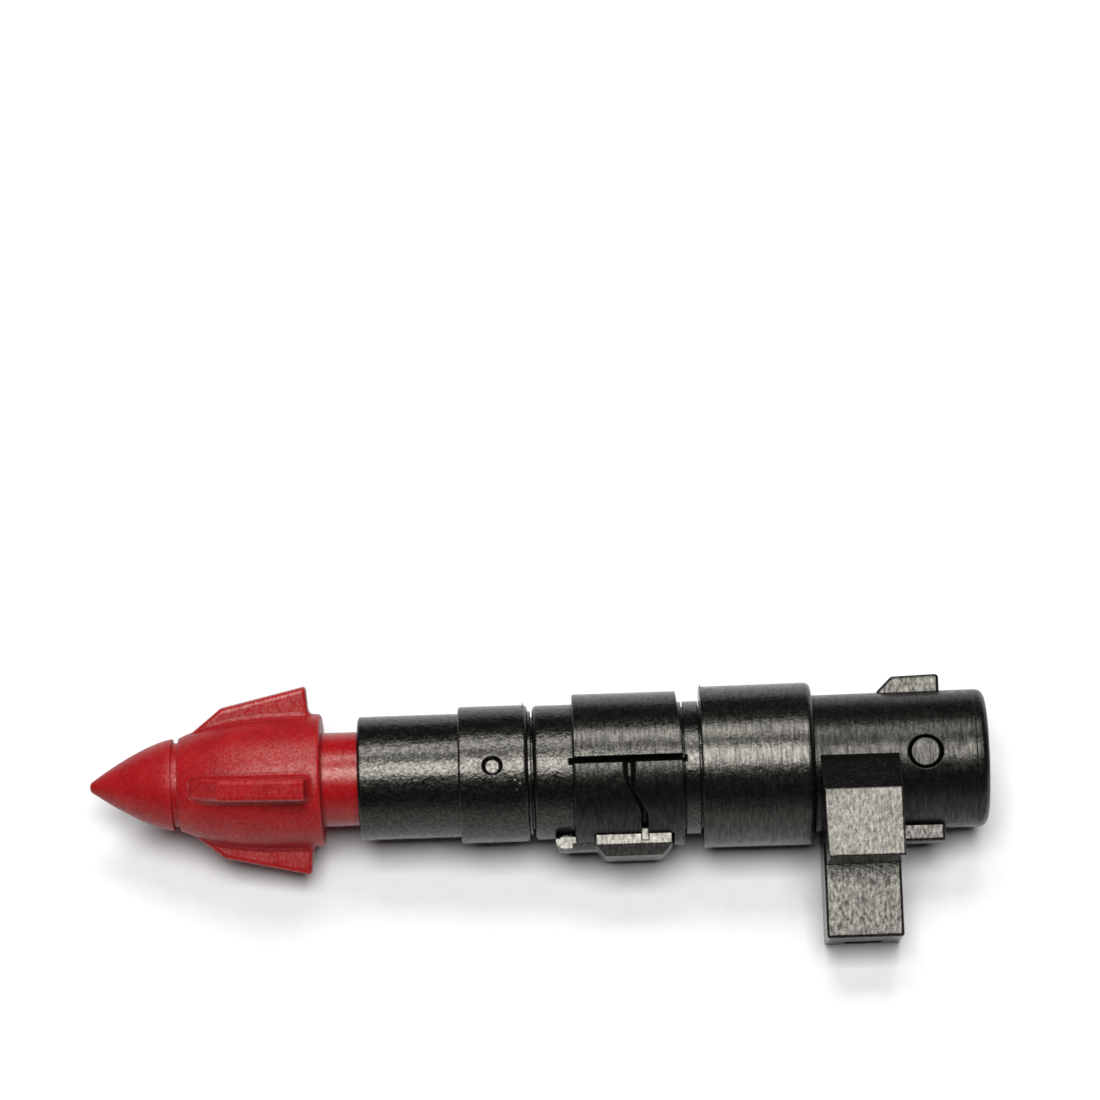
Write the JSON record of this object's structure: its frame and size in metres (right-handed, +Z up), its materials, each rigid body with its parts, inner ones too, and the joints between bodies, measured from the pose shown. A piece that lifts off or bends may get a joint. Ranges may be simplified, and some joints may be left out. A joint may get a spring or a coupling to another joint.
{
  "type": "toy rocket launcher",
  "caption": "Red finned toy rocket seated in a stepped black launcher tube with a square side handle, a rocker trigger and a spring plunger, lying on its side.",
  "frame": {"origin": "centre of the footprint's box, on the table that the toy lies on", "axes": "+X along the tube's axis from the rocket's nose to the tube's end, +Z up from the table; the handle points to -Y and dips by 16.8 degrees"},
  "size_m": [0.06, 0.0178, 0.0119],
  "materials": {
    "red_plastic": "satin moulded",
    "black_plastic": "satin moulded",
    "steel": "drawn wire"
  },
  "bodies": {
    "launcher": {"barrel_tube": "black_plastic", "front_sleeve": "black_plastic", "sleeve_pins": "black_plastic", "centre_housing": "black_plastic", "upper_cover": "black_plastic", "lower_cover": "black_plastic", "rear_collar": "black_plastic", "rear_housing": "black_plastic", "rear_cap": "black_plastic", "cap_pin": "black_plastic", "top_tab": "black_plastic", "bottom_tab": "black_plastic", "side_block": "black_plastic", "grip": "black_plastic", "trigger_pin": "steel", "trigger_spring": "steel", "main_spring": "steel", "guide_rod": "steel"},
    "plunger": {"plunger": "black_plastic"},
    "rocket": {"rocket_nose": "red_plastic", "rocket_body": "red_plastic", "fin_1": "red_plastic", "fin_2": "red_plastic", "fin_3": "red_plastic", "fin_4": "red_plastic", "rocket_stem": "red_plastic"},
    "trigger": {"trigger": "black_plastic", "catch_finger": "steel"}
  },
  "joints": [
    {"name": "plunger_slide", "type": "slide", "parent": "launcher", "child": "plunger", "axis": [1, 0, 0], "range_m": [0, 0.0023], "stiffness_N_per_m": 100, "springref_m": -0.002, "deforming": ["main_spring"]},
    {"name": "rocket_slide", "type": "slide", "parent": "plunger", "child": "rocket", "axis": [-1, 0, 0], "range_m": [0, 0.02]},
    {"name": "trigger_hinge", "type": "hinge", "parent": "launcher", "child": "trigger", "pos_m": [0.00545, -0.00049, 0.00468], "axis": [0, -0.289, 0.9573], "range_deg": [0, 6], "stiffness_Nm_per_rad": 0.0005, "springref_deg": -5.73, "deforming": ["trigger_spring"]}
  ]
}
